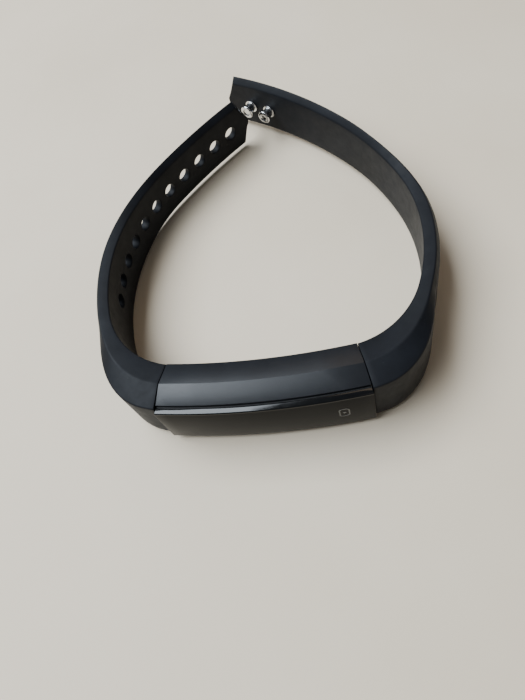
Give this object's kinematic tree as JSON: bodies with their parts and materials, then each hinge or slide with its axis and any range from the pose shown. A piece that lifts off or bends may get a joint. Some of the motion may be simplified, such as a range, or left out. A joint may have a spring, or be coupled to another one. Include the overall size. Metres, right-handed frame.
{
  "type": "fitness tracker band",
  "caption": "Slim fitness tracker band with a glass-fronted module, peg clasp and perforated strap.",
  "frame": {"origin": "centre of the footprint of the band standing on its long edge, on the surface it stands on", "axes": "+Z across the band width, upwards; the display faces -Y and the straps curl round to +Y"},
  "size_m": [0.0774, 0.0988, 0.016],
  "materials": {
    "housing_plastic": "fine matte",
    "cover_plastic": "satin",
    "strap_rubber": "soft matte",
    "seal_rubber": "matte",
    "lens_glass": "black glass, gloss",
    "key_ink": "printed ink",
    "display": "gloss",
    "flex_film": "polyimide film",
    "board": "solder mask",
    "chip": "matte epoxy",
    "ceramic": "ceramic",
    "can_metal": "plated",
    "gold": "gold plate",
    "cell_foil": "foil pouch",
    "foam": "foam",
    "wire_red": "insulation",
    "wire_black": "insulation",
    "steel": "satin",
    "magnet": "nickel plate",
    "tungsten": "sintered tungsten",
    "clasp_chrome": "mirror"
  },
  "bodies": {
    "tracker": {"housing": "housing_plastic", "back_cover": "cover_plastic", "cover_seal": "seal_rubber", "lens": "lens_glass", "lens_gasket": "seal_rubber", "touch_key_mark": "key_ink", "charging_plug": "chip", "plug_contacts": "gold", "main_board": "board", "display_panel": "display", "display_flex": "flex_film", "touch_electrode": "foam", "processor_chip": "chip", "power_chip": "chip", "motion_chip": "chip", "crystal": "can_metal", "antenna_chip": "ceramic", "battery_cell": "cell_foil", "battery_pad": "foam", "battery_lead_red": "wire_red", "battery_lead_black": "wire_black", "motor_case": "steel", "motor_base": "steel", "motor_shaft": "steel", "motor_magnet": "magnet"},
    "rotor": {"motor_rotor": "flex_film", "motor_weight": "tungsten"},
    "sizing_root": {"sizing_strap_root": "strap_rubber"},
    "sizing_shoulder": {"sizing_strap_shoulder": "strap_rubber"},
    "sizing_middle": {"sizing_strap_middle": "strap_rubber"},
    "sizing_tip": {"sizing_strap_tip": "strap_rubber"},
    "clasp_root": {"clasp_strap_root": "strap_rubber"},
    "clasp_shoulder": {"clasp_strap_shoulder": "strap_rubber"},
    "clasp_middle": {"clasp_strap_middle": "strap_rubber"},
    "clasp_tip": {"clasp_strap_tip": "strap_rubber", "clasp_plate": "clasp_chrome", "clasp_peg_inner": "clasp_chrome", "clasp_peg_tip": "clasp_chrome"}
  },
  "joints": [
    {"name": "rotor_spin", "type": "hinge", "parent": "tracker", "child": "rotor", "pos_m": [0.00916, -0.04289, 0.008], "axis": [0, 1, 0], "continuous": true},
    {"name": "sizing_strap_pull", "type": "slide", "parent": "tracker", "child": "sizing_root", "axis": [-0.9781, 0.2079, 0], "range_m": [0, 0.013]},
    {"name": "clasp_strap_pull", "type": "slide", "parent": "tracker", "child": "clasp_root", "axis": [0.9781, 0.2079, 0], "range_m": [0, 0.013]},
    {"name": "sizing_flex_shoulder", "type": "hinge", "parent": "sizing_root", "child": "sizing_shoulder", "pos_m": [-0.03605, -0.0219, 0.008], "axis": [0, 0, 1], "range_deg": [0, 40], "stiffness_Nm_per_rad": 0.006},
    {"name": "sizing_flex_middle", "type": "hinge", "parent": "sizing_shoulder", "child": "sizing_middle", "pos_m": [-0.03288, 0.0061, 0.008], "axis": [0, 0, 1], "range_deg": [0, 40], "stiffness_Nm_per_rad": 0.006},
    {"name": "sizing_flex_tip", "type": "hinge", "parent": "sizing_middle", "child": "sizing_tip", "pos_m": [-0.01945, 0.02511, 0.008], "axis": [0, 0, 1], "range_deg": [0, 40], "stiffness_Nm_per_rad": 0.006},
    {"name": "clasp_flex_shoulder", "type": "hinge", "parent": "clasp_root", "child": "clasp_shoulder", "pos_m": [0.03557, -0.02223, 0.008], "axis": [0, 0, -1], "range_deg": [0, 40], "stiffness_Nm_per_rad": 0.006},
    {"name": "clasp_flex_middle", "type": "hinge", "parent": "clasp_shoulder", "child": "clasp_middle", "pos_m": [0.03331, 0.00566, 0.008], "axis": [0, 0, -1], "range_deg": [0, 40], "stiffness_Nm_per_rad": 0.006},
    {"name": "clasp_flex_tip", "type": "hinge", "parent": "clasp_middle", "child": "clasp_tip", "pos_m": [0.01762, 0.02855, 0.008], "axis": [0, 0, -1], "range_deg": [0, 40], "stiffness_Nm_per_rad": 0.006}
  ],
  "couplings": [
    {"joint": "sizing_flex_middle", "follows": "sizing_flex_shoulder", "ratio": 1},
    {"joint": "sizing_flex_tip", "follows": "sizing_flex_shoulder", "ratio": 1},
    {"joint": "clasp_flex_shoulder", "follows": "sizing_flex_shoulder", "ratio": 1},
    {"joint": "clasp_flex_middle", "follows": "sizing_flex_shoulder", "ratio": 1},
    {"joint": "clasp_flex_tip", "follows": "sizing_flex_shoulder", "ratio": 1}
  ]
}
